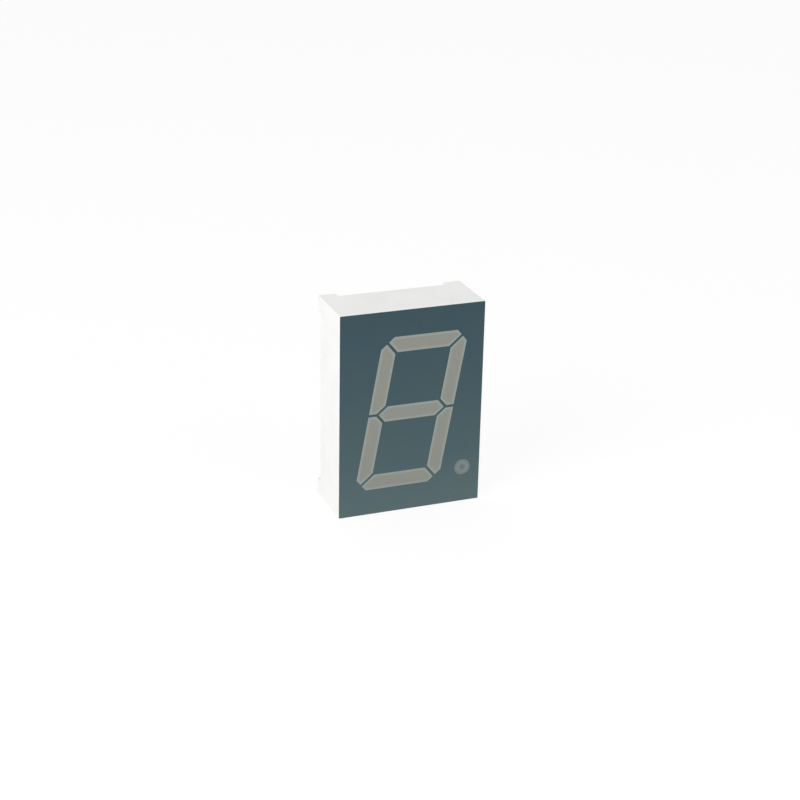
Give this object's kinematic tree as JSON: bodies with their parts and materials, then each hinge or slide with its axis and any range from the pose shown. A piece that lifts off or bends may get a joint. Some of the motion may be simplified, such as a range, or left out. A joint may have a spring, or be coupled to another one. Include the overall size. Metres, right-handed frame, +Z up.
{
  "type": "seven segment display",
  "caption": "Single digit seven segment LED display with decimal point, dark printed face, milky segments, white reflector housing and two rows of round pins.",
  "frame": {"origin": "centre of the underside of the housing's bottom wall, on which it stands", "axes": "+X to the right seen from the front, +Y from the face to the pins, +Z up along the digit's height"},
  "size_m": [0.024, 0.0155, 0.034],
  "materials": {
    "white_plastic": "white moulded thermoplastic, fine satin",
    "dark_print": "dark grey-teal screen print, matt",
    "milky_casting": "diffused milky epoxy, smooth",
    "board_laminate": "white lacquered glass epoxy laminate",
    "board_copper": "thin bright copper",
    "die_crystal": "diced semiconductor crystal",
    "gold_wire": "bright drawn gold",
    "tinned_pin": "tinned, satin",
    "solder": "bright solder",
    "back_casting": "translucent cast epoxy, glossy"
  },
  "bodies": {
    "root": {"housing": "white_plastic", "face_print": "dark_print", "segment_a": "milky_casting", "segment_b": "milky_casting", "segment_c": "milky_casting", "segment_d": "milky_casting", "segment_e": "milky_casting", "segment_f": "milky_casting", "segment_g": "milky_casting", "decimal_point": "milky_casting", "circuit_board": "board_laminate", "copper": "board_copper", "die_a1": "die_crystal", "die_a2": "die_crystal", "die_b1": "die_crystal", "die_b2": "die_crystal", "die_c1": "die_crystal", "die_c2": "die_crystal", "die_d1": "die_crystal", "die_d2": "die_crystal", "die_e1": "die_crystal", "die_e2": "die_crystal", "die_f1": "die_crystal", "die_f2": "die_crystal", "die_g1": "die_crystal", "die_g2": "die_crystal", "die_dp": "die_crystal", "wire_a1": "gold_wire", "wire_a2": "gold_wire", "wire_b1": "gold_wire", "wire_b2": "gold_wire", "wire_c1": "gold_wire", "wire_c2": "gold_wire", "wire_d1": "gold_wire", "wire_d2": "gold_wire", "wire_e1": "gold_wire", "wire_e2": "gold_wire", "wire_f1": "gold_wire", "wire_f2": "gold_wire", "wire_g1": "gold_wire", "wire_g2": "gold_wire", "wire_dp": "gold_wire", "pin_1": "tinned_pin", "pin_2": "tinned_pin", "pin_3": "tinned_pin", "pin_4": "tinned_pin", "pin_5": "tinned_pin", "pin_6": "tinned_pin", "pin_7": "tinned_pin", "pin_8": "tinned_pin", "pin_9": "tinned_pin", "pin_10": "tinned_pin", "solder_joints": "solder", "potting": "back_casting"}
  },
  "joints": []
}
